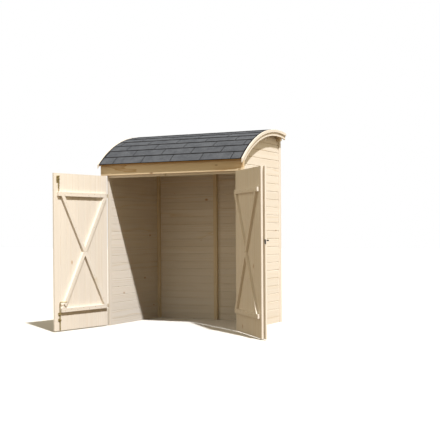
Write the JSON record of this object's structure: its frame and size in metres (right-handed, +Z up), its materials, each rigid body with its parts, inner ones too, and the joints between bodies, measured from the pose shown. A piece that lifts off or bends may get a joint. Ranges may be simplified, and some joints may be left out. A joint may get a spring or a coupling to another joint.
{
  "type": "bike shelter",
  "caption": "Timber bike shelter with board walls, an arched shingle roof and two ledged and braced doors that swing open.",
  "frame": {"origin": "on the ground, under the middle of the back wall", "axes": "+X along the front, +Y from the doors to the back wall, +Z up"},
  "size_m": [2.3904, 1.9754, 2.2098],
  "materials": {
    "board_timber": "satin",
    "frame_timber": "satin",
    "trim_timber": "satin",
    "shingles": "matte",
    "hardware": "satin",
    "black_handle": "satin"
  },
  "bodies": {
    "shelter": {"back_base_rail": "frame_timber", "back_wall_left": "board_timber", "back_wall_right": "board_timber", "centre_rear_stud": "frame_timber", "fascia_board": "trim_timber", "head_board": "board_timber", "left_barge_board": "trim_timber", "left_base_rail": "frame_timber", "left_corner_strip": "trim_timber", "left_frame_hinges": "hardware", "left_gable_trim": "trim_timber", "left_jamb": "board_timber", "left_rear_post": "frame_timber", "left_side_wall": "board_timber", "right_barge_board": "trim_timber", "right_base_rail": "frame_timber", "right_corner_strip": "trim_timber", "right_frame_hinges": "hardware", "right_gable_trim": "trim_timber", "right_jamb": "board_timber", "right_rear_post": "frame_timber", "right_side_wall": "board_timber", "roof_deck": "frame_timber", "roof_purlin": "frame_timber", "shingle_covering": "shingles"},
    "left_door": {"drop_bolt_guides": "hardware", "left_door_boards": "board_timber", "left_door_bottom_ledge": "board_timber", "left_door_falling_brace": "board_timber", "left_door_hinges": "hardware", "left_door_rising_brace": "board_timber", "left_door_top_ledge": "board_timber", "top_bolt_plate": "hardware"},
    "right_door": {"handle_rose": "black_handle", "lock_front_plate": "black_handle", "meeting_strip": "trim_timber", "right_door_boards": "board_timber", "right_door_bottom_ledge": "board_timber", "right_door_falling_brace": "board_timber", "right_door_hinges": "hardware", "right_door_rising_brace": "board_timber", "right_door_top_ledge": "board_timber"},
    "top_bolt": {"top_bolt": "hardware"},
    "drop_bolt": {"drop_bolt": "hardware"},
    "handle": {"turning_handle": "black_handle"}
  },
  "joints": [
    {"name": "left_door_hinge", "type": "hinge", "parent": "shelter", "child": "left_door", "pos_m": [-0.828, -1.145, 0], "axis": [0, 0, 1], "range_deg": [-75.5, 99.5]},
    {"name": "right_door_hinge", "type": "hinge", "parent": "shelter", "child": "right_door", "pos_m": [0.828, -1.145, 0], "axis": [0, 0, -1], "range_deg": [-42, 133]},
    {"name": "top_bolt_slide", "type": "slide", "parent": "left_door", "child": "top_bolt", "axis": [0, 0, 1], "range_m": [0, 0.03]},
    {"name": "drop_bolt_slide", "type": "slide", "parent": "left_door", "child": "drop_bolt", "axis": [0, 0, -1], "range_m": [-0.06, 0.0125]},
    {"name": "handle_turn", "type": "hinge", "parent": "right_door", "child": "handle", "pos_m": [1.38666, -1.72063, 0.968], "axis": [-0.7314, -0.682, 0], "range_deg": [0, 90]}
  ]
}
